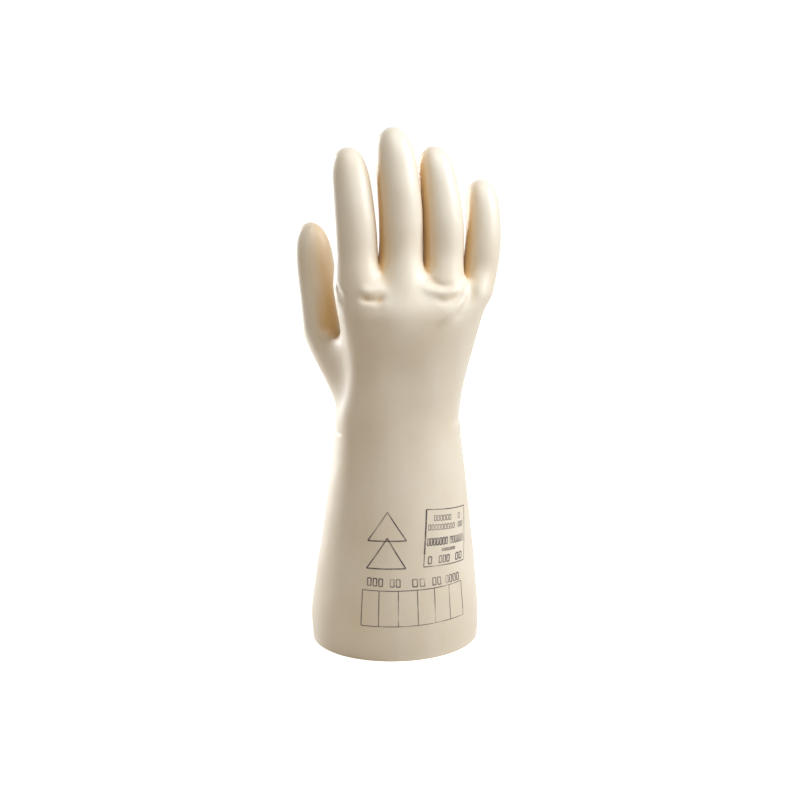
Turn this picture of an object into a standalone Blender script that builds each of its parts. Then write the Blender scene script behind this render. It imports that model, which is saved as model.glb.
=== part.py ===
"""Electrical insulating glove for the right hand, standing on its cuff with the fingers up.

The real glove is one dipped shell of natural latex. It is cut here at the creases where the rubber bends,
so the gauntlet, the wrist, the hand and each length of finger is its own hollow shell, 2 mm thick.
The marks on the gauntlet are thin films of ink. X runs from the thumb's side to the little finger's,
Y from the back of the hand to the palm, and Z from the cuff's rim to the fingertips.
"""

import math

import bmesh
import bpy
from mathutils import Vector

MM = 0.001

# Driving dimensions, in millimetres and degrees.
WALL = 2.0
CUT_GAP = 0.4
AXIS_DEPTH = 4.0
CENTRE_SHIFT = (-1.0, 0.0)
COLUMNS = 20
FINGER_SIDES = 8
FINGER_SWELL = 1.108
SLEEVE_SWELL = 1.0166

# The sleeve's rings: height, centre x and y, half width, half depth, boxiness.
GAUNTLET = (
    (0, -3.5, 0, 59.6, 54.0, 2.0),
    (3, -3.5, 0, 59.6, 54.0, 2.0),
    (13, -3.8, 0, 60.4, 54.6, 2.0),
    (27, -3.7, 0, 59.8, 54.3, 2.0),
    (45, -3.2, 0, 57.7, 52.5, 2.0),
    (75, -2.2, 0, 53.8, 48.5, 2.0),
    (105, -1.8, 0, 49.9, 43.5, 2.1),
    (130, -1.2, 0, 46.5, 39.5, 2.2),
    (146, -1.5, -0.5, 44.3, 37.0, 2.2),
)
WRIST = (
    (146, -1.5, -0.5, 44.3, 37.0, 2.2),
    (155, -1.9, -1.0, 43.6, 36.2, 2.2),
    (163, -2.2, -1.5, 43.2, 35.2, 2.3),
)
HAND = (
    (163, -2.2, -1.5, 43.2, 35.2, 2.3),
    (172, -1.4, -2.5, 43.0, 34.4, 2.3),
    (193, 2.9, -5.8, 41.7, 32.2, 2.4),
    (220, 4.8, -9.4, 46.8, 29.9, 2.5),
    (238, 5.0, -11.5, 51.0, 28.6, 2.6),
)
THUMB_ROWS = (1, 3)
KNUCKLE_SPREAD = (-1.0, -0.94, -0.72, -0.45, -0.18, 0.09, 0.34, 0.59, 0.79, 0.94, 1.0)

# Between the fingers: x, the height of the web, and the heights of the ring's back and palm corners.
WEBS = (
    (-46.5, 258, 256, 256),
    (-17.5, 270, 260, 262),
    (13.5, 267, 259, 260),
    (41.5, 263, 254, 256),
    (61, 247, 247, 247),
)
KNUCKLE_BACK = (-33.0, -24.0)
KNUCKLE_PALM = (12.0, 6.0)
WEB_Y = -9.0

# Each finger's centre line, as base, control and tip of a curve, its half width and half depth, and how
# far it swings towards the little finger's side for each millimetre that it bends towards the palm.
FINGERS = {
    "index": ((-31.5, -10, 266), (-32.5, -9, 305), (-36.0, 8, 347), 14.8, 13.8, 0.165),
    "middle": ((-1.5, -10, 268), (0.5, -9, 318), (-5.5, 8, 360), 15.4, 14.2, 0.105),
    "ring": ((27.8, -10, 265), (31.0, -9, 306), (22.5, 8, 347), 14.5, 13.6, 0.09),
    "little": ((52, -10, 256), (61.0, -10, 292), (56.5, 6, 324.5), 12.6, 12.2, 0.10),
}
FINGER_RINGS = ((0.24, 0.98), (0.53, 0.95), (0.80, 0.85), (0.92, 0.73), (0.985, 0.48))
FINGER_CREASES = ((0.10, 0.96, 60.0), (0.38, 0.98, 70.0), (0.66, 0.90, 45.0))
FINGER_START = -135.0

THUMB = ((-40, 20, 170), (-49.5, 38, 222), (-56.5, 43, 294.5), 14.8, 14.2, 2.8)
THUMB_RINGS = ((0.38, 1.05), (0.60, 0.99), (0.82, 0.92), (0.92, 0.83), (0.985, 0.58))
THUMB_CREASES = ((0.48, 1.02, 25.0), (0.72, 0.96, 40.0))
THUMB_START = 90.0

WRIST_BEND = 30.0

LATEX = (0.80, 0.73, 0.62, 1.0)


def clear_scene():
    for thing in list(bpy.data.objects):
        bpy.data.objects.remove(thing)


def plain_material(name, colour, roughness):
    material = bpy.data.materials.new(name)
    material.use_nodes = True
    shader = material.node_tree.nodes["Principled BSDF"]
    shader.inputs["Base Color"].default_value = colour
    shader.inputs["Roughness"].default_value = roughness
    shader.inputs["Metallic"].default_value = 0.0
    return material


def curve_at(finger, share):
    """A point on the curve through a finger, and the curve's direction there."""
    base, control, tip = (Vector(point) for point in finger[:3])
    rest = 1 - share
    point = base * rest * rest + control * 2 * rest * share + tip * share * share
    return point, ((control - base) * rest + (tip - control) * share).normalized()


def square_to(direction, towards):
    """The part of a direction that is square to another, one unit long."""
    towards = Vector(towards)
    return (towards - direction * towards.dot(direction)).normalized()


def tube_ring(finger, share, scale, start):
    """Eight points round a finger, with the finger's direction and the way it bends."""
    point, direction = curve_at(finger, share)
    bend = square_to(direction, (0, 1, 0))
    across = bend.cross(direction)
    width, depth = (side * scale * FINGER_SWELL for side in finger[3:5])
    corners = []
    for k in range(FINGER_SIDES):
        turn = math.radians(start + 45 * k)
        corners.append(point + across * (width * math.cos(turn)) + bend * (depth * math.sin(turn)))
    return corners, direction, square_to(direction, (finger[5], 1, 0))


def lips(ring, direction, bend, angle, swell):
    """A ring parted at a crease: the two lips stand clear of each other until the bend is complete."""
    centre = sum(ring, Vector()) / len(ring)
    reach = max((point - centre).dot(bend) for point in ring) / swell
    pivot = centre + bend * (reach - AXIS_DEPTH)
    below, above = [], []
    for point in ring:
        past = max(0.0, (point - pivot).dot(bend))
        step = direction * (CUT_GAP / 2 + past * math.tan(math.radians(angle / 2)))
        level = point - direction * (point - pivot).dot(direction)
        below.append(level - step)
        above.append(level + step)
    return below, above, pivot


def sleeve_ring(height, centre_x, centre_y, half_width, half_depth, boxiness):
    """One ring of the sleeve, from the thumb's side round the back of the hand."""
    grown = min(1.0, max(0.0, (height - 150) / 90))
    grown = grown * grown * (3 - 2 * grown)
    points = []
    for k in range(COLUMNS):
        step = k if k <= COLUMNS // 2 else COLUMNS - k
        even = -math.cos(2 * math.pi * k / COLUMNS)
        across = even + (KNUCKLE_SPREAD[step] - even) * grown
        out = max(0.0, 1 - abs(across) ** boxiness) ** (1 / boxiness)
        side = -1 if k < COLUMNS // 2 else 1
        x = centre_x + half_width * across * SLEEVE_SWELL
        points.append(Vector((x, centre_y + side * half_depth * out * SLEEVE_SWELL, height)))
    return points


def knuckle_ring():
    """The top ring of the hand, with the middles of the three webs between the fingers."""
    back, palm = [], []
    for number, (x, web, back_height, palm_height) in enumerate(WEBS):
        outer = number in (0, len(WEBS) - 1)
        back.append(Vector((x, KNUCKLE_BACK[1] + 2 * outer, back_height)))
        palm.append(Vector((x, KNUCKLE_PALM[1] - 2 * outer, palm_height)))
    for corners, edge, rise in ((back, KNUCKLE_BACK[0], 1), (palm, KNUCKLE_PALM[0], 0)):
        for left in range(len(WEBS) - 1, 0, -1):
            middle = (corners[left - 1] + corners[left]) / 2
            corners.insert(left, Vector((middle.x, edge, middle.z + rise)))
    webs = [Vector((x, WEB_Y, web)) for x, web, _, _ in WEBS]
    webs[0].x -= 2.5
    webs[-1].x += 2.0
    return [webs[0], *back, webs[-1], *reversed(palm)], webs


def finger_base(number, ring, webs):
    """The eight points of the knuckle ring and its webs that one finger rises from."""
    back = 1 + 2 * number
    palm = COLUMNS - 1 - 2 * number
    right = ring[COLUMNS // 2] if number == 3 else webs[number + 1]
    left = ring[0] if number == 0 else webs[number]
    return [ring[back], ring[back + 1], ring[back + 2], right, ring[palm - 2], ring[palm - 1], ring[palm], left]


def finger_lengths(finger, rings, creases, start):
    """A finger as lists of rings parted at its creases, and the pivot of each crease."""
    lengths, pivots = [[]], []
    stops = [(share, scale, None) for share, scale in rings] + list(creases)
    for share, scale, angle in sorted(stops, key=lambda stop: stop[0]):
        ring, direction, bend = tube_ring(finger, share, scale, start)
        if angle is None:
            lengths[-1].append(ring)
            continue
        below, above, pivot = lips(ring, direction, bend, angle, 1.0)
        lengths[-1].append(below)
        lengths.append([above])
        pivots.append((pivot, bend.cross(direction)))
    return lengths, pivots


class Cage:
    """The coarse skin of one piece, which the subdivision rounds off."""

    def __init__(self):
        self.mesh = bmesh.new()
        self.points = {}

    def vertex(self, point):
        key = tuple(round(value, 5) for value in point)
        if key not in self.points:
            self.points[key] = self.mesh.verts.new(point)
        return self.points[key]

    def face(self, *points):
        self.mesh.faces.new([self.vertex(point) for point in points])

    def band(self, lower, upper, leave=()):
        """Faces between two rings, but for the columns left open."""
        count = len(lower)
        for k in range(count):
            if k not in leave:
                n = (k + 1) % count
                self.face(lower[k], lower[n], upper[n], upper[k])

    def tube(self, rings):
        for lower, upper in zip(rings, rings[1:]):
            self.band(lower, upper)

    def cap(self, ring, tip):
        """Four faces that close the end of a finger."""
        for k in range(0, FINGER_SIDES, 2):
            self.face(ring[k - 1], ring[k], ring[k + 1], tip)

    def finish(self, name, origin, material):
        """The object of this piece, with its origin on its hinge."""
        shift = Vector((*CENTRE_SHIFT, 0))
        for vertex in self.mesh.verts:
            vertex.co = (vertex.co - origin) * MM
        mesh = bpy.data.meshes.new(name)
        self.mesh.to_mesh(mesh)
        self.mesh.free()
        for polygon in mesh.polygons:
            polygon.use_smooth = True
        piece = bpy.data.objects.new(name, mesh)
        piece.location = (Vector(origin) + shift) * MM
        piece.data.materials.append(material)
        bpy.context.scene.collection.objects.link(piece)
        rounding = piece.modifiers.new("rounding", "SUBSURF")
        rounding.levels = rounding.render_levels = 1
        wall = piece.modifiers.new("wall", "SOLIDIFY")
        wall.thickness = WALL * MM
        wall.offset = -1.0
        return piece


def build_sleeve(latex):
    """The gauntlet and the wrist, and the lip the hand starts from."""
    gauntlet = [sleeve_ring(*row) for row in GAUNTLET]
    wrist = [sleeve_ring(*row) for row in WRIST]
    up = Vector((0, 0, 1))
    low, high, palm_pivot = lips(gauntlet[-1], up, Vector((0, 1, 0)), WRIST_BEND, SLEEVE_SWELL)
    gauntlet[-1], wrist[0] = low, high
    low, high, back_pivot = lips(wrist[-1], up, Vector((0, -1, 0)), WRIST_BEND, SLEEVE_SWELL)
    wrist[-1] = low
    for name, rings, origin in (
        ("gauntlet_cuff", gauntlet, Vector()),
        ("wrist_sleeve", wrist, palm_pivot),
    ):
        cage = Cage()
        cage.tube(rings)
        cage.finish(name, origin, latex)
    return high, back_pivot


def build_hand(first_ring, pivot, stubs, thumb_stub, latex):
    """The palm and back of the hand, with the roots of the fingers and of the thumb."""
    rows = [first_ring] + [sleeve_ring(*row) for row in HAND[1:]]
    top, webs = knuckle_ring()
    rows.append(top)
    low, high = THUMB_ROWS
    cage = Cage()
    for row in range(len(rows) - 1):
        leave = (18, 19) if low <= row < high else ()
        cage.band(rows[row], rows[row + 1], leave)
    for number, stub in enumerate(stubs):
        cage.tube([finger_base(number, top, webs), *stub])
    middle = low + 1
    hole = [rows[low][18], rows[low][19], rows[low][0], rows[middle][0]]
    hole += [rows[high][0], rows[high][19], rows[high][18], rows[middle][18]]
    cage.tube([hole, *thumb_stub])
    cage.finish("hand_shell", pivot, latex)


def build_lengths(name, parts, lengths, pivots, tip, latex):
    for part, rings, (pivot, _) in zip(parts, lengths, pivots):
        cage = Cage()
        cage.tube(rings)
        if part == parts[-1]:
            cage.cap(rings[-1], tip)
        cage.finish(f"{name}_{part}", pivot, latex)


def main():
    clear_scene()
    latex = plain_material("natural latex", LATEX, 0.45)
    first_ring, back_pivot = build_sleeve(latex)
    stubs = []
    for name, finger in FINGERS.items():
        lengths, pivots = finger_lengths(finger, FINGER_RINGS, FINGER_CREASES, FINGER_START)
        stubs.append(lengths[0])
        tip = curve_at(finger, 1.0)[0]
        build_lengths(name, ("proximal", "middle", "tip"), lengths[1:], pivots, tip, latex)
    lengths, pivots = finger_lengths(THUMB, THUMB_RINGS, THUMB_CREASES, THUMB_START)
    build_lengths("thumb", ("proximal", "tip"), lengths[1:], pivots, curve_at(THUMB, 1.0)[0], latex)
    build_hand(first_ring, back_pivot, stubs, lengths[0], latex)


main()
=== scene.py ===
import math

import bmesh
import bpy
import numpy as np
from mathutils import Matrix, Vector, noise
from mathutils.bvhtree import BVHTree


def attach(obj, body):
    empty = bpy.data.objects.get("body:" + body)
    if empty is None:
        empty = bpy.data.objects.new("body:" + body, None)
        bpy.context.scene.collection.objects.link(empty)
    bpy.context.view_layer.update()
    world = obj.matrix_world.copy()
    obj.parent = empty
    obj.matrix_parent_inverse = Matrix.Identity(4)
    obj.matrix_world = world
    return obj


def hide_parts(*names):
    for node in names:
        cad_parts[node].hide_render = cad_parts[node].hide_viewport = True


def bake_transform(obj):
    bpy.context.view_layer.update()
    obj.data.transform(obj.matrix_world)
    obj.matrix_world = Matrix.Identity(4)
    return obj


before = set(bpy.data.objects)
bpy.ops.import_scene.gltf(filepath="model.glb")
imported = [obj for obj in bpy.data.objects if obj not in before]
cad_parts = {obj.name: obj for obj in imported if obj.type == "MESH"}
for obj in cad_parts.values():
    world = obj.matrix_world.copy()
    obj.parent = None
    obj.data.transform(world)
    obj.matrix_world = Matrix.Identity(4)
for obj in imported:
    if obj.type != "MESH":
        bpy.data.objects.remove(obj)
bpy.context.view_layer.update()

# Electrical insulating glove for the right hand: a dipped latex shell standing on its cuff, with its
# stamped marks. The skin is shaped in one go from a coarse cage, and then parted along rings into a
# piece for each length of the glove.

MM = 0.001
UP = Vector((0, 0, 1))

# ---------------------------------------------------------------------------------------------------
# The cage, in millimetres
# ---------------------------------------------------------------------------------------------------

WALL = 2.0
RIM_ROUND = 0.45
CENTRE_SHIFT = (-1.0, 0.0)
COLUMNS = 20
FINGER_SIDES = 8
SKIN_LEVELS = 3

# Rounding off pulls the skin inside its cage, so rings are drawn this much larger than they come out.
FINGER_SWELL = 1.108
SLEEVE_SWELL = 1.0166

# Height, centre x and y, half width, half depth, boxiness.
GAUNTLET_ROWS = (
    (0, -3.5, 0, 59.6, 54.0, 2.0),
    (5, -3.5, 0, 59.7, 54.1, 2.0),
    (13, -3.8, 0, 60.4, 54.6, 2.0),
    (27, -3.7, 0, 59.8, 54.3, 2.0),
    (45, -3.2, 0, 57.7, 52.5, 2.0),
    (75, -2.2, 0, 53.8, 48.5, 2.0),
    (105, -1.8, 0, 49.9, 43.5, 2.1),
    (130, -1.2, 0, 46.5, 39.5, 2.2),
    (146, -1.5, -0.5, 44.3, 37.0, 2.2),
    (154.5, -1.9, -1.0, 43.6, 36.2, 2.2),
)
HAND_ROWS = (
    (163, -2.2, -1.5, 43.2, 35.2, 2.3),
    (172, -1.4, -2.5, 43.0, 34.4, 2.3),
    (193, 2.9, -5.8, 41.7, 32.2, 2.4),
    (220, 4.8, -9.4, 46.8, 29.9, 2.5),
    (238, 5.0, -11.5, 51.0, 28.6, 2.6),
)
# The rows of the hand that the thumb's hole runs between.
THUMB_HOLE = (1, 3)

# How far across each column stands at the knuckles, and the heights between which the columns move there.
KNUCKLE_SPREAD_FROM, KNUCKLE_SPREAD_TO = 150, 240
KNUCKLE_SPREAD = (-1.0, -0.94, -0.72, -0.45, -0.18, 0.09, 0.34, 0.59, 0.79, 0.94, 1.0)

# Between the fingers: x, the height of the web, and the heights of the ring's back and palm corners.
WEBS = (
    (-46.5, 258, 256, 256),
    (-17.5, 270, 260, 262),
    (13.5, 267, 259, 260),
    (41.5, 263, 254, 256),
    (61, 247, 247, 247),
)
KNUCKLE_BACK = (-33.0, -24.0)
KNUCKLE_PALM = (12.0, 6.0)
WEB_Y = -9.0

# Each finger's centre line, as base, control and tip of a curve, and its half width and half depth.
FINGERS = {
    "index": ((-31.5, -10, 266), (-32.5, -9, 305), (-36.0, 8, 347), 14.8, 13.8),
    "middle": ((-1.5, -10, 268), (0.5, -9, 318), (-5.5, 8, 360), 15.4, 14.2),
    "ring": ((27.8, -10, 265), (31.0, -9, 306), (22.5, 8, 347), 14.5, 13.6),
    "little": ((52, -10, 256), (61.0, -10, 292), (56.5, 6, 324.5), 12.6, 12.2),
}
THUMB = ((-40, 20, 170), (-49.5, 38, 222), (-56.5, 43, 294.5), 14.8, 14.2)
FINGER_START = -135.0
THUMB_START = 90.0

# Rings along a finger, as a share of its length and of its width, length by length.
FINGER_LENGTHS = {
    "root": ((0.10, 0.96), (0.24, 0.98)),
    "middle": ((0.38, 0.98), (0.52, 0.95)),
    "tip": ((0.66, 0.91), (0.80, 0.87), (0.91, 0.73), (0.975, 0.42)),
}
THUMB_LENGTHS = {
    "root": ((0.48, 1.02), (0.60, 0.99)),
    "tip": ((0.72, 0.96), (0.82, 0.93), (0.92, 0.81), (0.98, 0.48)),
}
THUMB_FOOT = (0.38, 1.05)

# For each length: its piece of skin, the node whose part it hides, and the crease below it.
FINGER_CHAIN = (("root", "proximal", 0.10), ("middle", "middle", 0.38), ("tip", "tip", 0.66))
THUMB_CHAIN = (("root", "proximal", 0.48), ("tip", "tip", 0.72))

# The tip of the cage stands past the end of the finger, so that the rounded tip comes out to length.
TIP_REACH = 1.02

# The heights of two spans at the wrist, one below its crease and one above.
WRIST_FOLD_SPAN = (128.0, 153.5)
WRIST_LIFT_SPAN = (155.5, 182.0)


def smooth_step(value):
    """From 0 to 1 as the value goes from 0 to 1, with level ends."""
    value = np.clip(value, 0, 1)
    return value * value * (3 - 2 * value)


def curve_at(finger, share):
    """A point on the curve through a finger, and the curve's direction there."""
    base, control, tip = (Vector(point) for point in finger[:3])
    rest = 1 - share
    point = base * rest * rest + control * 2 * rest * share + tip * share * share
    return point, ((control - base) * rest + (tip - control) * share).normalized()


def finger_ring(finger, share, scale, start):
    """Eight points round a finger."""
    point, direction = curve_at(finger, share)
    palm = Vector((0, 1, 0))
    bend = (palm - direction * palm.dot(direction)).normalized()
    across = bend.cross(direction)
    width, depth = (side * scale * FINGER_SWELL for side in finger[3:5])
    corners = []
    for k in range(FINGER_SIDES):
        turn = math.radians(start + 45 * k)
        corners.append(point + across * (width * math.cos(turn)) + bend * (depth * math.sin(turn)))
    return corners


def sleeve_ring(height, centre_x, centre_y, half_width, half_depth, boxiness):
    """One ring of the sleeve, from the thumb's side round the back of the hand."""
    grown = smooth_step((height - KNUCKLE_SPREAD_FROM) / (KNUCKLE_SPREAD_TO - KNUCKLE_SPREAD_FROM))
    points = []
    for k in range(COLUMNS):
        step = k if k <= COLUMNS // 2 else COLUMNS - k
        even = -math.cos(2 * math.pi * k / COLUMNS)
        across = even + (KNUCKLE_SPREAD[step] - even) * grown
        out = max(0.0, 1 - abs(across) ** boxiness) ** (1 / boxiness)
        side = -1 if k < COLUMNS // 2 else 1
        x = centre_x + half_width * across * SLEEVE_SWELL
        points.append(Vector((x, centre_y + side * half_depth * out * SLEEVE_SWELL, height)))
    return points


def knuckle_ring():
    """The top ring of the hand, with the middles of the webs between the fingers."""
    back, palm = [], []
    for number, (x, web, back_height, palm_height) in enumerate(WEBS):
        outer = number in (0, len(WEBS) - 1)
        back.append(Vector((x, KNUCKLE_BACK[1] + 2 * outer, back_height)))
        palm.append(Vector((x, KNUCKLE_PALM[1] - 2 * outer, palm_height)))
    for corners, edge, rise in ((back, KNUCKLE_BACK[0], 1), (palm, KNUCKLE_PALM[0], 0)):
        for left in range(len(WEBS) - 1, 0, -1):
            middle = (corners[left - 1] + corners[left]) / 2
            corners.insert(left, Vector((middle.x, edge, middle.z + rise)))
    webs = [Vector((x, WEB_Y, web)) for x, web, _, _ in WEBS]
    webs[0].x -= 2.5
    webs[-1].x += 2.0
    return [webs[0], *back, webs[-1], *reversed(palm)], webs


def finger_base(number, ring, webs):
    """The eight points of the knuckle ring and its webs that one finger rises from."""
    back = 1 + 2 * number
    palm = COLUMNS - 1 - 2 * number
    left, right = webs[number], webs[number + 1]
    return [*ring[back : back + 3], right, *ring[palm - 2 : palm + 1], left]


class Cage:
    """The coarse skin. Each face is numbered with the piece of the glove that it belongs to."""

    def __init__(self):
        self.points, self.order = {}, []
        self.faces, self.regions, self.names = [], [], []

    def vertex(self, point):
        key = tuple(round(value, 4) for value in point)
        if key not in self.points:
            self.points[key] = len(self.order)
            self.order.append(point)
        return self.points[key]

    def face(self, region, *points):
        if region not in self.names:
            self.names.append(region)
        self.faces.append([self.vertex(point) for point in points])
        self.regions.append(self.names.index(region))

    def band(self, region, lower, upper, leave=()):
        """Faces between two rings, except those that are left open."""
        for k in range(len(lower)):
            n = (k + 1) % len(lower)
            if k not in leave:
                self.face(region, lower[k], lower[n], upper[n], upper[k])

    def finger(self, name, finger, lengths, base, start):
        """The lengths of one finger, closed at its tip."""
        last = base
        for part, rings in lengths.items():
            for share, scale in rings:
                ring = finger_ring(finger, share, scale, start)
                self.band(f"{name}_{part}", last, ring)
                last = ring
        tip = curve_at(finger, TIP_REACH)[0]
        for k in range(0, FINGER_SIDES, 2):
            self.face(f"{name}_tip", last[k - 1], last[k], last[k + 1], tip)


def build_cage():
    """The whole glove: gauntlet, hand with a hole at the thumb's side, thumb and four fingers."""
    cage = Cage()
    rings = [sleeve_ring(*row) for row in GAUNTLET_ROWS]
    for lower, upper in zip(rings, rings[1:]):
        cage.band("gauntlet", lower, upper)
    rows = [sleeve_ring(*row) for row in HAND_ROWS]
    top, webs = knuckle_ring()
    cage.band("hand", rings[-1], rows[0])
    rows.append([low.lerp(high, 0.5) for low, high in zip(rows[-1], top)])
    rows.append(top)
    low, high = THUMB_HOLE
    for row in range(len(rows) - 1):
        cage.band("hand", rows[row], rows[row + 1], (18, 19) if low <= row < high else ())
    middle = low + 1
    hole = [rows[low][18], rows[low][19], rows[low][0], rows[middle][0]]
    hole += [rows[high][0], rows[high][19], rows[high][18], rows[middle][18]]
    foot = finger_ring(THUMB, *THUMB_FOOT, THUMB_START)
    cage.band("hand", hole, foot)
    cage.finger("thumb", THUMB, THUMB_LENGTHS, foot, THUMB_START)
    for number, (name, finger) in enumerate(FINGERS.items()):
        cage.finger(name, finger, FINGER_LENGTHS, finger_base(number, top, webs), FINGER_START)
    return cage


def smooth_skin(cage):
    """The cage rounded off: vertex places in millimetres, four-sided faces and their piece numbers."""
    mesh = bpy.data.meshes.new("cage")
    shift = Vector((*CENTRE_SHIFT, 0))
    mesh.from_pydata([point + shift for point in cage.order], [], cage.faces)
    mesh.attributes.new("piece", "INT", "FACE").data.foreach_set("value", cage.regions)
    rough = bpy.data.objects.new("cage", mesh)
    bpy.context.scene.collection.objects.link(rough)
    rounding = rough.modifiers.new("rounding", "SUBSURF")
    rounding.levels = rounding.render_levels = SKIN_LEVELS
    shaped = rough.evaluated_get(bpy.context.evaluated_depsgraph_get()).to_mesh()
    points = np.empty(len(shaped.vertices) * 3)
    shaped.vertices.foreach_get("co", points)
    faces = np.empty(len(shaped.loops), dtype=np.int64)
    shaped.loops.foreach_get("vertex_index", faces)
    regions = np.empty(len(shaped.polygons), dtype=np.int64)
    shaped.attributes["piece"].data.foreach_get("value", regions)
    bpy.data.objects.remove(rough)
    return points.reshape(-1, 3), faces.reshape(-1, 4), regions


def vertex_normals(points, faces):
    """Area-weighted normals of the whole skin, so that no seam shows where it is parted."""
    a, b, c, d = (points[faces[:, k]] for k in range(4))
    across = np.cross(c - a, d - b)
    normals = np.zeros_like(points)
    for k in range(4):
        np.add.at(normals, faces[:, k], across)
    return normals / np.linalg.norm(normals, axis=1)[:, None]


# ---------------------------------------------------------------------------------------------------
# Creases and ripples of the rubber
# ---------------------------------------------------------------------------------------------------

# Folds on the back of the hand: points (x, z) along each, its half width, and its height out of the skin.
BACK_FOLDS = (
    (((-37, 250.5), (-30, 247.8), (-24, 247.6), (-16, 250.5)), 2.3, -1.9),
    (((-37, 255.5), (-28, 253.3), (-15, 255.5)), 2.6, 0.9),
    (((-37, 243), (-28, 241.5), (-17, 243)), 4.5, -0.6),
    (((4, 259), (12, 253.2), (21, 250.8), (30, 252), (37, 257)), 2.6, 1.3),
    (((14, 248.6), (22, 246), (31, 247.6), (37, 251.5)), 2.6, -0.9),
    (((41.5, 264), (40.8, 257), (36.5, 249.5), (30, 242), (22, 235), (13, 230)), 3.0, 1.5),
    (((46, 256), (41.5, 247), (35, 239), (27, 232)), 3.6, -0.9),
    (((13.5, 263), (17.5, 257.5), (23.5, 255.6), (31, 258)), 1.7, -0.9),
)

# Folds on the thumb's side of the hand, as points (y, z).
SIDE_FOLDS = (
    (((-2, 264), (-13, 256), (-26, 246.5)), 2.4, -1.0),
    (((0, 258), (-12, 250.5), (-22, 242)), 3.2, 0.7),
)

# Slow waves all over the skin, which die away towards the rim.
WAVE_RATE, WAVE_HEIGHT, WAVE_START = 0.045, 0.35, 25

# Skin past this, towards the thumb's side, is the thumb's own.
THUMB_EDGE = -48

# The fan of rays that feels for rubber near each point of the skin.
FAN_RAYS, FAN_LIFT, FAN_REACH = 14, 0.4, 40.0

# The cut rim's amber: partly the cut edge's own colour, partly a painted contact shadow.
RIM_AMBER_AND_SHADE = 0.2


def from_path(x, z, path):
    """Distance from a path of straight runs, and how far along it the nearest point is, from 0 to 1."""
    best = np.full(len(x), 1e9)
    along = np.zeros(len(x))
    for number, ((ax, az), (bx, bz)) in enumerate(zip(path, path[1:])):
        run = (bx - ax) ** 2 + (bz - az) ** 2
        share = np.clip(((x - ax) * (bx - ax) + (z - az) * (bz - az)) / run, 0, 1)
        away = np.hypot(x - ax - share * (bx - ax), z - az - share * (bz - az))
        along = np.where(away < best, (number + share) / (len(path) - 1), along)
        best = np.minimum(best, away)
    return best, along


def bump(value, middle, spread):
    """1 at the middle, falling away to either side."""
    return np.exp(-(((value - middle) / spread) ** 2))


def relief(points, normals):
    """How far each point of the skin stands out, in millimetres."""
    x, y, z = points.T
    back = smooth_step((-normals[:, 1] - 0.15) / 0.4)
    thumb_side = smooth_step((-normals[:, 0] - 0.2) / 0.4) * (x > THUMB_EDGE)
    hollow = bump(x, -14, 18) * bump(z, 198, 24)
    dimple = bump(x, -25, 8) * bump(z, 230, 8)
    height = -(2.4 * hollow + 0.8 * dimple) * back
    for folds, level, facing in ((BACK_FOLDS, x, back), (SIDE_FOLDS, y, thumb_side)):
        for path, half_width, rise in folds:
            away, along = from_path(level, z, path)
            ends = smooth_step(along * 3.5) * smooth_step((1 - along) * 3.5)
            height += rise * bump(away, 0, half_width) * ends * facing
    side = np.degrees(np.arctan2(x + 3, -y))
    notch = bump(z, 152.5, 1.8) * smooth_step((side + 112) / 14) * smooth_step((-68 - side) / 12)
    pinch = bump(z, 160.5, 2.6) * bump(side, 66, 14)
    bulge = bump(z, 153.0, 4.0) * bump(side, 72, 16)
    height += -0.5 * notch - 0.8 * pinch + 0.6 * bulge
    waves = np.array([noise.noise(Vector(point) * WAVE_RATE) for point in points.tolist()])
    return height + waves * WAVE_HEIGHT * smooth_step(z / WAVE_START)


def closeness(points, faces, normals):
    """From 0 in the open to 1 deep between the fingers: how much of the rubber round a point is near."""
    tree = BVHTree.FromPolygons(points.tolist(), faces.tolist())
    golden = math.pi * (3 - math.sqrt(5))
    fan = []
    for k in range(FAN_RAYS):
        up = 1 - (k + 0.5) / FAN_RAYS
        flat = math.sqrt(1 - up * up)
        fan.append(Vector((flat * math.cos(golden * k), flat * math.sin(golden * k), up)))
    found = np.zeros(len(points))
    for number, (point, normal) in enumerate(zip(points.tolist(), normals.tolist())):
        normal = Vector(normal)
        turn = normal.to_track_quat("Z", "Y")
        start = Vector(point) + normal * FAN_LIFT
        near = 0.0
        for ray in fan:
            hit = tree.ray_cast(start, turn @ ray, FAN_REACH)
            if hit[0] is not None:
                near += 1 - hit[3] / FAN_REACH
        found[number] = near / FAN_RAYS
    return found


def painted_shade(points, faces, normals):
    """Painted shade, in amber: most in the gaps between fingers, on the thumb and at the cut rim.

    The thumb's side of each finger, turned away from the key lamp, gets the most: painted shade, tinted
    amber like light passed through the rubber. At the cut rim the amber is partly the edge's own colour,
    and partly a painted contact shadow.
    """
    x, y, z = points.T
    # Painted shade on the thumb, whose faces towards the hand lie in the hand's shadow.
    thumb = smooth_step((-38 - x) / 8) * smooth_step((y - 10) / 8) * smooth_step((z - 180) / 50)
    # Painted shade, strongest on the sides that face away from the key lamp.
    shaded_side = 0.3 + 0.7 * smooth_step(0.55 - normals[:, 0])
    inside = smooth_step((normals[:, 0] + 0.8) / 1.3)
    # Painted shade where rubber is near: between the fingers and round the thumb.
    near = closeness(points, faces, normals) * (shaded_side * (1 - thumb) + 1.3 * thumb)
    return near + 0.2 * thumb * inside + RIM_AMBER_AND_SHADE * bump(z, 0, 0.9)


# ---------------------------------------------------------------------------------------------------
# Materials
# ---------------------------------------------------------------------------------------------------


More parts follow.
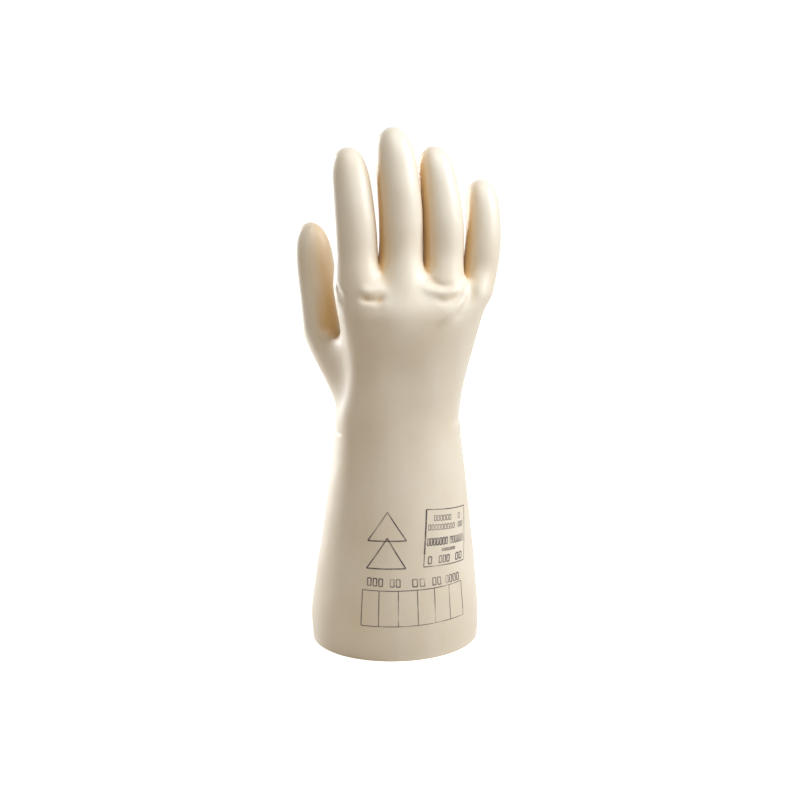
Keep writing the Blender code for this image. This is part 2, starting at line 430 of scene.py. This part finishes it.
# Amber is the colour of the painted shade between the fingers and on the thumb; at the cut rim it is partly
# the edge's own colour.
LATEX = {
    "Pale": (0.86, 0.79, 0.69, 1),
    "Deep": (0.80, 0.70, 0.57, 1),
    "Amber": (0.73, 0.49, 0.23, 1),
    "Roughness": 0.42,
    "Peel": 1.0,
}
POWDERED = {
    "Pale": (0.72, 0.63, 0.50, 1),
    "Deep": (0.64, 0.53, 0.39, 1),
    "Amber": (0.50, 0.33, 0.16, 1),
    "Roughness": 0.62,
    "Peel": 0.6,
}


def node(tree, kind, place, **inputs):
    """A new node, with its inputs set or linked by name."""
    made = tree.nodes.new(kind)
    made.location = place
    fill(tree, [made.inputs[name] for name in inputs], inputs.values())
    return made


def fill(tree, sockets, values):
    """Links or sets each socket in turn."""
    for socket, value in zip(sockets, values):
        if isinstance(value, bpy.types.NodeSocket):
            tree.links.new(value, socket)
        else:
            socket.default_value = value


def maths(tree, operation, place, *values):
    made = tree.nodes.new("ShaderNodeMath")
    made.operation = operation
    made.location = place
    fill(tree, made.inputs, values)
    return made.outputs[0]


def mix_colour(tree, place, factor, first, second):
    made = tree.nodes.new("ShaderNodeMix")
    made.data_type = "RGBA"
    made.location = place
    fill(tree, (made.inputs[0], made.inputs[6], made.inputs[7]), (factor, first, second))
    return made.outputs[2]


def ramp(tree, place, value, *stops):
    """A grey ramp from (position, brightness) stops."""
    made = node(tree, "ShaderNodeValToRGB", place, Fac=value)
    elements = made.color_ramp.elements
    while len(elements) < len(stops):
        elements.new(0.5)
    for element, (position, level) in zip(elements, stops):
        element.position = position
        element.color = (level, level, level, 1)
    return made.outputs[0]


def scattered(tree, place, coordinates, scale, detail=3.0, stretch=(1, 1, 1)):
    """Cloudy noise on the object's coordinates, stretched if need be."""
    mapping = node(tree, "ShaderNodeMapping", (place[0] - 180, place[1]), Vector=coordinates, Scale=stretch)
    made = node(tree, "ShaderNodeTexNoise", place, Vector=mapping.outputs[0], Scale=scale, Detail=detail)
    return made.outputs[0]


def dipped_rubber_group():
    """Colour, roughness and height of dipped latex: clouding, run marks, orange peel and specks, with
    painted shade in amber.
    """
    tree = bpy.data.node_groups.new("dipped rubber", "ShaderNodeTree")
    face = tree.interface
    for name, kind, start in (
        ("Pale", "NodeSocketColor", (0.8, 0.7, 0.6, 1)),
        ("Deep", "NodeSocketColor", (0.6, 0.45, 0.3, 1)),
        ("Amber", "NodeSocketColor", (0.5, 0.3, 0.1, 1)),
        ("Shelter", "NodeSocketFloat", 0.0),
        ("Roughness", "NodeSocketFloat", 0.45),
        ("Peel", "NodeSocketFloat", 1.0),
    ):
        face.new_socket(name, in_out="INPUT", socket_type=kind).default_value = start
    face.new_socket("Color", in_out="OUTPUT", socket_type="NodeSocketColor")
    face.new_socket("Roughness", in_out="OUTPUT", socket_type="NodeSocketFloat")
    face.new_socket("Height", in_out="OUTPUT", socket_type="NodeSocketFloat")
    given = tree.nodes.new("NodeGroupInput")
    given.location = (-1400, 0)
    given = given.outputs
    place = node(tree, "ShaderNodeTexCoord", (-1400, -400)).outputs["Object"]
    clouds = scattered(tree, (-1000, 300), place, 22.0, 4.0)
    runs = scattered(tree, (-1000, 0), place, 60.0, 3.0, (1, 1, 0.12))
    peel = scattered(tree, (-1000, -300), place, 1500.0, 2.0)
    ripple = scattered(tree, (-1000, -600), place, 160.0, 2.0, (1, 1, 0.5))
    specks = scattered(tree, (-1000, -900), place, 900.0, 1.0)
    clouded = maths(tree, "MULTIPLY", (-850, 300), clouds, 0.75)
    tone = maths(tree, "MULTIPLY_ADD", (-700, 200), runs, 0.45, clouded)
    cloudy = ramp(tree, (-500, 200), tone, (0.42, 0.0), (0.78, 1.0))
    body = mix_colour(tree, (-200, 200), cloudy, given["Pale"], given["Deep"])
    # Painted shade: the colour turns amber as the shade input rises.
    painted_shade_amount = ramp(tree, (-500, -50), given["Shelter"], (0.05, 0.0), (0.38, 1.0))
    warmed = mix_colour(tree, (0, 100), painted_shade_amount, body, given["Amber"])
    speck = ramp(tree, (-500, -300), specks, (0.68, 0.0), (0.76, 1.0))
    faint = maths(tree, "MULTIPLY", (0, -100), speck, 0.18)
    dotted = mix_colour(tree, (200, 100), faint, warmed, given["Deep"])
    worn = maths(tree, "MULTIPLY_ADD", (-200, -400), cloudy, 0.10, given["Roughness"])
    fine = maths(tree, "MULTIPLY", (-500, -600), peel, given["Peel"])
    height = maths(tree, "MULTIPLY_ADD", (-200, -700), ripple, 2.2, fine)
    done = tree.nodes.new("NodeGroupOutput")
    done.location = (450, 0)
    tree.links.new(dotted, done.inputs["Color"])
    tree.links.new(worn, done.inputs["Roughness"])
    tree.links.new(height, done.inputs["Height"])
    return tree


def rubber_material(name, group, coat, **finish):
    """Dipped latex with its own finish: the values of the shared group, and how much coat it has."""
    material = bpy.data.materials.new(name)
    material.use_nodes = True
    tree = material.node_tree
    shader = tree.nodes["Principled BSDF"]
    # The painted shade, read from the skin's attribute.
    near = node(tree, "ShaderNodeAttribute", (-900, 0))
    near.attribute_name = "painted_shade"
    surface = tree.nodes.new("ShaderNodeGroup")
    surface.node_tree = group
    surface.location = (-600, 0)
    for socket, value in finish.items():
        surface.inputs[socket].default_value = value
    tree.links.new(near.outputs["Fac"], surface.inputs["Shelter"])
    grain = node(tree, "ShaderNodeBump", (-300, -300), Height=surface.outputs["Height"])
    grain.inputs["Strength"].default_value = 0.5
    grain.inputs["Distance"].default_value = 0.06 * MM
    tree.links.new(surface.outputs["Color"], shader.inputs["Base Color"])
    tree.links.new(surface.outputs["Roughness"], shader.inputs["Roughness"])
    tree.links.new(grain.outputs["Normal"], shader.inputs["Normal"])
    shader.inputs["Coat Weight"].default_value = coat
    shader.inputs["Coat Roughness"].default_value = 0.36
    shader.inputs["Sheen Weight"].default_value = 0.08
    shader.inputs["Sheen Roughness"].default_value = 0.5
    shader.inputs["Specular IOR Level"].default_value = 0.45
    return material


def ink_material():
    """Stamping ink, thin and broken where the stamp pressed lightly."""
    material = bpy.data.materials.new("stamping ink")
    material.use_nodes = True
    tree = material.node_tree
    shader = tree.nodes["Principled BSDF"]
    place = node(tree, "ShaderNodeTexCoord", (-1200, 0)).outputs["Object"]
    press = scattered(tree, (-800, 200), place, 70.0, 2.0)
    grain = scattered(tree, (-800, -100), place, 2600.0, 2.0)
    gritty = maths(tree, "MULTIPLY", (-700, 0), grain, 0.5)
    both = maths(tree, "MULTIPLY_ADD", (-600, 100), press, 1.3, gritty)
    cover = ramp(tree, (-400, 100), both, (0.60, 0.10), (1.02, 0.80))
    tree.links.new(cover, shader.inputs["Alpha"])
    shader.inputs["Base Color"].default_value = (0.125, 0.100, 0.115, 1)
    shader.inputs["Roughness"].default_value = 0.6
    return material


# ---------------------------------------------------------------------------------------------------
# The pieces of the skin
# ---------------------------------------------------------------------------------------------------


def rim_profile():
    """The cut edge, as steps inwards and upwards from the outer wall to the inner, and their lean."""
    steps = []
    for angle in (30, 60, 90):
        turn = math.radians(angle)
        steps.append((RIM_ROUND * (1 - math.cos(turn)), RIM_ROUND * (1 - math.sin(turn)), math.cos(turn)))
    return steps + [(WALL - inward, up, -lean) for inward, up, lean in reversed(steps)]


def open_loop(points, faces):
    """The vertices round a piece's edge on the floor, in order."""
    ends = {(face[k], face[(k + 1) % 4]) for face in faces.tolist() for k in range(4)}
    following = {a: b for a, b in ends if (b, a) not in ends}
    loop = [next(a for a in following if points[a][2] < 0.01)]
    while following[loop[-1]] != loop[0]:
        loop.append(following[loop[-1]])
    return loop


class Walls:
    """The outer and inner walls of one piece of the skin."""

    def __init__(self, chosen, skin):
        points, normals, near = skin
        used, index = np.unique(chosen, return_inverse=True)
        self.own_faces = index.reshape(-1, 4)
        self.outside, self.facing = points[used], normals[used]
        self.count = len(used)
        self.points = [*self.outside.tolist(), *(self.outside - self.facing * WALL).tolist()]
        self.normals = [*self.facing.tolist(), *(-self.facing).tolist()]
        self.faces = [*self.own_faces.tolist(), *(self.own_faces[:, ::-1] + self.count).tolist()]
        # The painted shade, on the outer wall only.
        self.shade = [*near[used].tolist(), *[0.0] * self.count]
        self.kinds = [0] * len(self.own_faces) + [1] * len(self.own_faces)

    def join(self, below, above):
        """A band of faces between two loops of the rim."""
        self.faces += [[below[k - 1], above[k - 1], above[k], below[k]] for k in range(len(below))]
        self.kinds += [0] * len(below)

    def add_rim(self):
        """Rounds the cut edge on the floor from the outer wall to the inner one."""
        loop = open_loop(self.outside, self.own_faces)
        last = loop
        for inward, up, lean in rim_profile():
            fresh = list(range(len(self.points), len(self.points) + len(loop)))
            for v in loop:
                side = Vector((self.facing[v][0], self.facing[v][1], 0)).normalized()
                self.points.append([*(self.outside[v] - self.facing[v] * inward)[:2], up])
                self.normals.append([side.x * lean, side.y * lean, -math.sqrt(1 - lean * lean)])
                # Painted contact shadow at the rim, with the cut edge's own amber.
                self.shade.append(RIM_AMBER_AND_SHADE)
            self.join(last, fresh)
            last = fresh
        self.join(last, [v + self.count for v in loop])
        for v in loop:
            self.points[v][2] = self.points[v + self.count][2] = RIM_ROUND


def skin_piece(name, chosen, skin, materials):
    """One piece of the skin as an object, with the cut edge on the gauntlet."""
    walls = Walls(chosen, skin)
    if name == "gauntlet_skin":
        walls.add_rim()
    mesh = bpy.data.meshes.new(name)
    mesh.from_pydata((np.array(walls.points) * MM).tolist(), [], walls.faces)
    for material in materials:
        mesh.materials.append(material)
    mesh.polygons.foreach_set("material_index", walls.kinds)
    mesh.polygons.foreach_set("use_smooth", [True] * len(walls.faces))
    mesh.attributes.new("painted_shade", "FLOAT", "POINT").data.foreach_set("value", walls.shade)
    mesh.normals_split_custom_set_from_vertices(walls.normals)
    piece = bpy.data.objects.new(name, mesh)
    bpy.context.scene.collection.objects.link(piece)
    return piece


def bend_between(piece, below, above, low, high, direction=UP):
    """Bakes a piece's placement into its mesh. The bodies, the distances and the direction are not used."""
    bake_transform(piece)


def shared_edge(chosen, name):
    """The vertices where one piece of the skin meets the others."""
    others = np.concatenate([faces for other, faces in chosen.items() if other != name])
    return np.intersect1d(chosen[name], others)


def bend_finger(name, finger, pieces, chosen, points):
    """Finds the span round the crease below each length of a finger, passes it on, and hides its own part.
    """
    chain = FINGER_CHAIN if name != "thumb" else THUMB_CHAIN
    below = "hand_shell"
    for part, body, share in chain:
        crease, direction = curve_at(finger, share)
        along = points[shared_edge(chosen, f"{name}_{part}")] @ np.array(direction)
        middle = (crease + Vector((*CENTRE_SHIFT, 0))).dot(direction)
        low = along[along < middle].max()
        high = along[along >= middle].min() if (along >= middle).any() else 2 * middle - low
        piece = pieces[f"{name}_{part}"]
        bend_between(piece, below, f"{name}_{body}", low, high, direction)
        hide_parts(f"{name}_{body}")
        below = f"{name}_{body}"


def build_skin(materials):
    """The unbroken skin, parted into its pieces; the parts of model.glb that they cover are hidden."""
    cage = build_cage()
    points, faces, regions = smooth_skin(cage)
    normals = vertex_normals(points, faces)
    points = points + normals * relief(points, normals)[:, None]
    points[:, 2] = np.maximum(points[:, 2], 0.0)
    normals = vertex_normals(points, faces)
    skin = (points, normals, painted_shade(points, faces, normals))
    chosen = {name: faces[regions == number] for number, name in enumerate(cage.names)}
    pieces = {name: skin_piece(f"{name}_skin", chosen[name], skin, materials) for name in chosen}
    bend_between(pieces["gauntlet"], "gauntlet_cuff", "wrist_sleeve", *WRIST_FOLD_SPAN)
    bend_between(pieces["hand"], "wrist_sleeve", "hand_shell", *WRIST_LIFT_SPAN)
    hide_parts("gauntlet_cuff")
    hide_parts("wrist_sleeve", "hand_shell")
    for name, finger in (*FINGERS.items(), ("thumb", THUMB)):
        bend_finger(name, finger, pieces, chosen, points)
    return pieces


# ---------------------------------------------------------------------------------------------------
# The stamped marks
# ---------------------------------------------------------------------------------------------------

CUFF_AXIS_X = -3.5 + CENTRE_SHIFT[0]
LAYOUT_RADIUS = 0.05
WRAP_FROM, WRAP_REACH = 0.12, 0.2
STROKE_STEP = 1.2
INK_LIFT = 0.05
SIGN_WIDTH = 0.62

# A panel's lower and upper edges, each from left to right, in degrees round the cuff and height.
PANEL = (((11.1, 65.5), (51.2, 63.6)), ((16.9, 104.3), (60.1, 100.5)))
BATCH_LINE = (((-33.0, 53.0), (44.3, 50.8)), ((-33.0, 59.4), (44.3, 57.0)))

# Words of blank signs on the panel: left, right, base, top, how many signs.
PANEL_ROWS = (
    (0.18, 0.60, 0.80, 0.89, 6),
    (0.78, 0.86, 0.80, 0.89, 1),
    (0.06, 0.70, 0.64, 0.73, 9),
    (0.78, 0.94, 0.64, 0.73, 3),
    (0.38, 0.72, 0.255, 0.30, 8),
)
PANEL_VALUES = (
    (0.05, 0.53, 0.37, 0.49, 7),
    (0.57, 0.97, 0.37, 0.49, 6),
    (0.09, 0.20, 0.05, 0.17, 1),
    (0.33, 0.60, 0.05, 0.17, 3),
    (0.74, 0.95, 0.05, 0.17, 2),
)
BATCH_WORDS = (
    (0.0, 0.17, 0.1, 0.9, 3),
    (0.225, 0.345, 0.1, 0.9, 2),
    (0.45, 0.60, 0.1, 0.9, 2),
    (0.66, 0.77, 0.1, 0.9, 2),
    (0.81, 1.0, 0.1, 0.9, 4),
)
TABLE_BARS = (-23.9, -9.5, 5.2, 18.9, 32.1)


def spot(angle, height):
    """A place on the cuff, laid out flat: degrees round from the back of the cuff, and height."""
    return (math.radians(angle) * LAYOUT_RADIUS, height * MM, 0)


def within(corners, across, up):
    """A place inside a panel, from its lower left (0, 0) to its upper right (1, 1)."""
    (a, b), (c, d) = corners
    low = [a[k] + (b[k] - a[k]) * across for k in (0, 1)]
    high = [c[k] + (d[k] - c[k]) * across for k in (0, 1)]
    return tuple(low[k] + (high[k] - low[k]) * up for k in (0, 1))


def blank_word(corners, left, right, base, top, signs):
    """A word of blank signs: narrow upright boxes, which stand for the marks of a stamp."""
    strokes = []
    pitch = (right - left) / signs
    for k in range(signs):
        a, b = left + k * pitch, left + (k + SIGN_WIDTH) * pitch
        box = [within(corners, x, y) for x, y in ((a, base), (b, base), (b, top), (a, top))]
        strokes += [(box[n], box[(n + 1) % 4]) for n in range(4)]
    return strokes


def words(corners, rows):
    return [stroke for row in rows for stroke in blank_word(corners, *row)]


def ink_tree():
    """Draws flat strokes as ribbons of ink, wrapped on to the skin."""
    tree = bpy.data.node_groups.new("stamped strokes", "GeometryNodeTree")
    for name, kind in (
        ("Strokes", "NodeSocketGeometry"),
        ("Skin", "NodeSocketObject"),
        ("Stroke width", "NodeSocketFloat"),
        ("Step", "NodeSocketFloat"),
        ("Lift", "NodeSocketFloat"),
        ("Layout radius", "NodeSocketFloat"),
        ("Axis", "NodeSocketVector"),
        ("Ink", "NodeSocketMaterial"),
    ):
        tree.interface.new_socket(name, in_out="INPUT", socket_type=kind)
    tree.interface.new_socket("Marks", in_out="OUTPUT", socket_type="NodeSocketGeometry")
    given = tree.nodes.new("NodeGroupInput").outputs
    link = tree.links.new

    def make(kind, **settings):
        made = tree.nodes.new(kind)
        for name, value in settings.items():
            setattr(made, name, value)
        return made

    def scalar(operation, *values):
        made = make("ShaderNodeMath", operation=operation)
        fill(tree, made.inputs, values)
        return made.outputs[0]

    def total(first, second):
        made = make("ShaderNodeVectorMath", operation="ADD")
        fill(tree, made.inputs, (first, second))
        return made.outputs[0]

    def scaled(vector, factor):
        made = make("ShaderNodeVectorMath", operation="SCALE")
        fill(tree, (made.inputs[0], made.inputs["Scale"]), (vector, factor))
        return made.outputs[0]

    curve = make("GeometryNodeMeshToCurve")
    link(given["Strokes"], curve.inputs["Mesh"])
    steps = make("GeometryNodeResampleCurve", mode="LENGTH")
    link(curve.outputs[0], steps.inputs["Curve"])
    link(given["Step"], steps.inputs["Length"])
    nib = make("GeometryNodeCurvePrimitiveLine")
    half = scalar("MULTIPLY", given["Stroke width"], 0.5)
    for socket, sign in ((nib.inputs["Start"], 1.0), (nib.inputs["End"], -1.0)):
        corner = make("ShaderNodeCombineXYZ")
        link(scalar("MULTIPLY", half, sign), corner.inputs["X"])
        link(corner.outputs[0], socket)
    ribbon = make("GeometryNodeCurveToMesh")
    link(steps.outputs[0], ribbon.inputs["Curve"])
    link(nib.outputs[0], ribbon.inputs["Profile Curve"])
    parts = make("ShaderNodeSeparateXYZ")
    link(make("GeometryNodeInputPosition").outputs[0], parts.inputs[0])
    turn = scalar("DIVIDE", parts.outputs["X"], given["Layout radius"])
    outward = make("ShaderNodeCombineXYZ")
    link(scalar("SINE", turn), outward.inputs["X"])
    link(scalar("MULTIPLY", scalar("COSINE", turn), -1.0), outward.inputs["Y"])
    height = make("ShaderNodeCombineXYZ")
    link(parts.outputs["Y"], height.inputs["Z"])
    centre = total(given["Axis"], height.outputs[0])
    cuff = make("GeometryNodeObjectInfo")
    link(given["Skin"], cuff.inputs["Object"])
    ray = make("GeometryNodeRaycast")
    link(cuff.outputs["Geometry"], ray.inputs["Target Geometry"])
    link(total(centre, scaled(outward.outputs[0], WRAP_FROM)), ray.inputs["Source Position"])
    link(scaled(outward.outputs[0], -1.0), ray.inputs["Ray Direction"])
    ray.inputs["Ray Length"].default_value = WRAP_REACH
    lifted = total(ray.outputs["Hit Position"], scaled(ray.outputs["Hit Normal"], given["Lift"]))
    wrapped = make("GeometryNodeSetPosition")
    link(ribbon.outputs[0], wrapped.inputs["Geometry"])
    link(lifted, wrapped.inputs["Position"])
    whole = make("GeometryNodeRealizeInstances")
    link(wrapped.outputs[0], whole.inputs[0])
    inked = make("GeometryNodeSetMaterial")
    link(whole.outputs[0], inked.inputs["Geometry"])
    link(given["Ink"], inked.inputs["Material"])
    done = tree.nodes.new("NodeGroupOutput")
    link(inked.outputs[0], done.inputs["Marks"])
    return tree


def stamp(name, strokes, width, tree, skin, ink):
    """One stamped mark: its strokes drawn by the node tree, then kept as a plain mesh."""
    points, edges = [], []
    for ends in strokes:
        edges.append((len(points), len(points) + 1))
        points += [spot(*end) for end in ends]
    mesh = bpy.data.meshes.new(name)
    mesh.from_pydata(points, edges, [])
    drawn = bpy.data.objects.new(f"{name}_strokes", mesh)
    bpy.context.scene.collection.objects.link(drawn)
    modifier = drawn.modifiers.new("stamp", "NODES")
    modifier.node_group = tree
    values = {
        "Skin": skin,
        "Stroke width": width * MM,
        "Step": STROKE_STEP * MM,
        "Lift": INK_LIFT * MM,
        "Layout radius": LAYOUT_RADIUS,
        "Axis": (CUFF_AXIS_X * MM, 0.0, 0.0),
        "Ink": ink,
    }
    for item in tree.interface.items_tree:
        if item.item_type == "SOCKET" and item.name in values:
            modifier[item.identifier] = values[item.name]
    drawn.data.update()
    evaluated = drawn.evaluated_get(bpy.context.evaluated_depsgraph_get())
    flat = bpy.data.meshes.new_from_object(evaluated)
    bpy.data.objects.remove(drawn)
    flat.name = name
    turn_outwards(flat)
    piece = bpy.data.objects.new(name, flat)
    bpy.context.scene.collection.objects.link(piece)
    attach(piece, "gauntlet_cuff")
    return piece


def turn_outwards(mesh):
    """Turns over the faces of a mark that look towards the cuff's axis."""
    work = bmesh.new()
    work.from_mesh(mesh)
    for face in work.faces:
        centre = face.calc_center_median()
        if face.normal.dot(Vector((centre.x - CUFF_AXIS_X * MM, centre.y, 0))) < 0:
            face.normal_flip()
    work.to_mesh(mesh)
    work.free()


def outline(*corners):
    """The strokes round a closed figure."""
    return [(corners[k - 1], corners[k]) for k in range(len(corners))]


def build_marks(skin, ink):
    tree = ink_tree()
    triangles = outline((-18.7, 103.8), (-34.6, 84.0), (-2.2, 84.2))
    triangles += outline((-18.4, 86.2), (-34.4, 65.2), (-3.4, 65.4))
    sides = [within(PANEL, *corner) for corner in ((0, 0), (1, 0), (1, 1), (0, 1))]
    table = outline((-36.6, 25.4), (44.9, 25.6), (45.1, 50.0), (-36.6, 50.2))
    table += [((angle, 25.5), (angle, 50.1)) for angle in TABLE_BARS]
    for name, strokes, width in (
        ("ink_double_triangle", triangles, 0.95),
        ("ink_panel_frame", outline(*sides), 0.7),
        ("ink_panel_side", [(within(PANEL, 0, 0.22), within(PANEL, 0, 1))], 1.3),
        ("ink_panel_rows", words(PANEL, PANEL_ROWS), 0.5),
        ("ink_panel_values", words(PANEL, PANEL_VALUES), 0.85),
        ("ink_batch_line", words(BATCH_LINE, BATCH_WORDS), 0.8),
        ("ink_test_table", table, 0.6),
    ):
        stamp(name, strokes, width, tree, skin, ink)


# ---------------------------------------------------------------------------------------------------
# Floor, light and camera
# ---------------------------------------------------------------------------------------------------

CAMERA_AZIMUTH = -12.0
CAMERA_TILT = 11.5
CAMERA_DISTANCE = 0.900
CAMERA_HEIGHT = 0.364
LENS = 58.95
FRAME_RISE = -0.015

FLOOR_HALF = 30.0
LIT_POINT = (0, 0, 0.2)

# Each lamp's place, size, power and colour.
LAMPS = {
    "key": ((1.04, -0.34, 1.00), (0.6, 0.6), 15.0, (0.88, 0.95, 1.0)),
    "overhead": ((0.10, -0.50, 1.45), (0.8, 0.8), 9.5, (0.89, 0.96, 1.0)),
    "left strip": ((-0.58, 0.78, 0.40), (0.22, 0.7), 10.0, (0.93, 0.97, 1.0)),
}


def build_floor():
    """A plain pale floor that looks white and casts a soft warm light back up."""
    mesh = bpy.data.meshes.new("floor")
    corners = ((-1, -1), (1, -1), (1, 1), (-1, 1))
    mesh.from_pydata([(x * FLOOR_HALF, y * FLOOR_HALF, 0) for x, y in corners], [], [(0, 1, 2, 3)])
    floor = bpy.data.objects.new("floor", mesh)
    material = bpy.data.materials.new("white floor")
    material.use_nodes = True
    tree = material.node_tree
    shader = tree.nodes["Principled BSDF"]
    shader.inputs["Base Color"].default_value = (0.51, 0.465, 0.395, 1)
    shader.inputs["Roughness"].default_value = 0.9
    shader.inputs["Specular IOR Level"].default_value = 0.1
    shader.inputs["Emission Strength"].default_value = 1.0
    path = node(tree, "ShaderNodeLightPath", (-800, -300))
    mirrored = maths(tree, "MULTIPLY", (-600, -400), path.outputs["Is Glossy Ray"], 0.6)
    seen = maths(tree, "MAXIMUM", (-400, -300), path.outputs["Is Camera Ray"], mirrored)
    glow = maths(tree, "MULTIPLY_ADD", (-200, -300), seen, 0.93, 0.02)
    tree.links.new(glow, shader.inputs["Emission Color"])
    mesh.materials.append(material)
    bpy.context.scene.collection.objects.link(floor)


def area_light(name, place, size, power, colour):
    lamp = bpy.data.lights.new(name, "AREA")
    lamp.shape = "RECTANGLE"
    lamp.size, lamp.size_y = size
    lamp.energy = power
    lamp.color = colour
    light = bpy.data.objects.new(name, lamp)
    light.location = place
    light.rotation_euler = (Vector(LIT_POINT) - Vector(place)).to_track_quat("-Z", "Y").to_euler()
    bpy.context.scene.collection.objects.link(light)


def build_light():
    """A white studio as seen and as mirrored, a dimmer warm one as a light, and three soft lamps."""
    world = bpy.data.worlds.new("studio")
    world.use_nodes = True
    tree = world.node_tree
    tree.nodes.clear()
    seen = node(tree, "ShaderNodeBackground", (0, 100), Color=(1, 1, 1, 1), Strength=1.05)
    cast = node(tree, "ShaderNodeBackground", (0, -100), Color=(1, 0.77, 0.50, 1), Strength=0.25)
    mirrored = node(tree, "ShaderNodeBackground", (0, -300), Color=(0.94, 0.97, 1.0, 1), Strength=0.55)
    path = node(tree, "ShaderNodeLightPath", (0, 500))
    last = cast
    for number, (ray, glow) in enumerate((("Is Glossy Ray", mirrored), ("Is Camera Ray", seen))):
        mixed = node(tree, "ShaderNodeMixShader", (200 + 200 * number, 0))
        tree.links.new(path.outputs[ray], mixed.inputs[0])
        tree.links.new(last.outputs[0], mixed.inputs[1])
        tree.links.new(glow.outputs[0], mixed.inputs[2])
        last = mixed
    done = node(tree, "ShaderNodeOutputWorld", (600, 0))
    tree.links.new(last.outputs[0], done.inputs["Surface"])
    bpy.context.scene.world = world
    for name, lamp in LAMPS.items():
        area_light(name, *lamp)


def build_camera():
    data = bpy.data.cameras.new("camera")
    data.lens = LENS
    data.sensor_width = 36
    data.shift_y = FRAME_RISE
    data.clip_start, data.clip_end = 0.01, 100
    camera = bpy.data.objects.new("camera", data)
    turn = math.radians(CAMERA_AZIMUTH)
    camera.location = (
        CAMERA_DISTANCE * math.sin(turn) + CENTRE_SHIFT[0] * MM,
        -CAMERA_DISTANCE * math.cos(turn),
        CAMERA_HEIGHT,
    )
    camera.rotation_euler = (math.radians(90 - CAMERA_TILT), 0, turn)
    bpy.context.scene.collection.objects.link(camera)
    bpy.context.scene.camera = camera
    bpy.context.scene.view_settings.view_transform = "Standard"


def main():
    group = dipped_rubber_group()
    outer = rubber_material("natural latex", group, 0.35, **LATEX)
    inner = rubber_material("powdered inside", group, 0.0, **POWDERED)
    pieces = build_skin((outer, inner))
    build_marks(pieces["gauntlet"], ink_material())
    build_floor()
    build_light()
    build_camera()


main()
